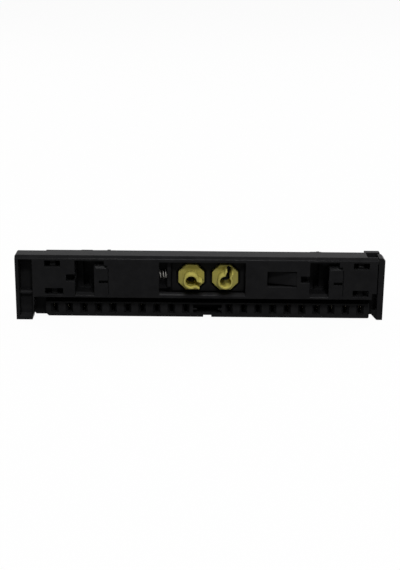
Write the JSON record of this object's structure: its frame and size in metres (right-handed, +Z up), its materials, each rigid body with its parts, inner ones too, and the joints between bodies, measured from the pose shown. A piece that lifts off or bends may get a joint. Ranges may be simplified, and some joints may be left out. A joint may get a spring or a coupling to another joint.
{
  "type": "plc front connector",
  "caption": "Black front connector of a programmable controller: a row of plug contacts under a latch cover with coding keys, a sprung release slide and screw terminals behind.",
  "frame": {"origin": "middle of the bounding box, on the surface that the connector lies on", "axes": "+X along the contact row towards the release button, +Y from the plug side to the screw side, +Z up"},
  "size_m": [0.1212, 0.0384, 0.0221],
  "materials": {
    "black_cover": "fine moulded grain",
    "black_body": "fine moulded grain",
    "black_strip": "fine moulded grain",
    "black_slide": "fine moulded grain",
    "yellow_key": "satin moulding",
    "spring_steel": "drawn wire",
    "tinned_brass": "tin plated",
    "plated_clamp": "zinc plated",
    "plated_screw": "zinc plated"
  },
  "bodies": {
    "connector": {"plug_cover": "black_cover", "terminal_body": "black_body", "contact_strip": "black_strip", "coding_key_left": "yellow_key", "coding_key_right": "yellow_key", "return_spring": "spring_steel", "contact_01": "tinned_brass", "contact_02": "tinned_brass", "contact_03": "tinned_brass", "contact_04": "tinned_brass", "contact_05": "tinned_brass", "contact_06": "tinned_brass", "contact_07": "tinned_brass", "contact_08": "tinned_brass", "contact_09": "tinned_brass", "contact_10": "tinned_brass", "contact_11": "tinned_brass", "contact_12": "tinned_brass", "contact_13": "tinned_brass", "contact_14": "tinned_brass", "contact_15": "tinned_brass", "contact_16": "tinned_brass", "contact_17": "tinned_brass", "contact_18": "tinned_brass", "contact_19": "tinned_brass", "contact_20": "tinned_brass", "clamp_01": "plated_clamp", "clamp_02": "plated_clamp", "clamp_03": "plated_clamp", "clamp_04": "plated_clamp", "clamp_05": "plated_clamp", "clamp_06": "plated_clamp", "clamp_07": "plated_clamp", "clamp_08": "plated_clamp", "clamp_09": "plated_clamp", "clamp_10": "plated_clamp", "clamp_11": "plated_clamp", "clamp_12": "plated_clamp", "clamp_13": "plated_clamp", "clamp_14": "plated_clamp", "clamp_15": "plated_clamp", "clamp_16": "plated_clamp", "clamp_17": "plated_clamp", "clamp_18": "plated_clamp", "clamp_19": "plated_clamp", "clamp_20": "plated_clamp", "terminal_screws": "plated_screw"},
    "lock": {"lock_slide": "black_slide"}
  },
  "joints": [
    {"name": "release", "type": "slide", "parent": "connector", "child": "lock", "axis": [-1, 0, 0], "range_m": [0, 0.002], "stiffness_N_per_m": 800, "springref_m": -0.002, "deforming": ["return_spring"]}
  ]
}
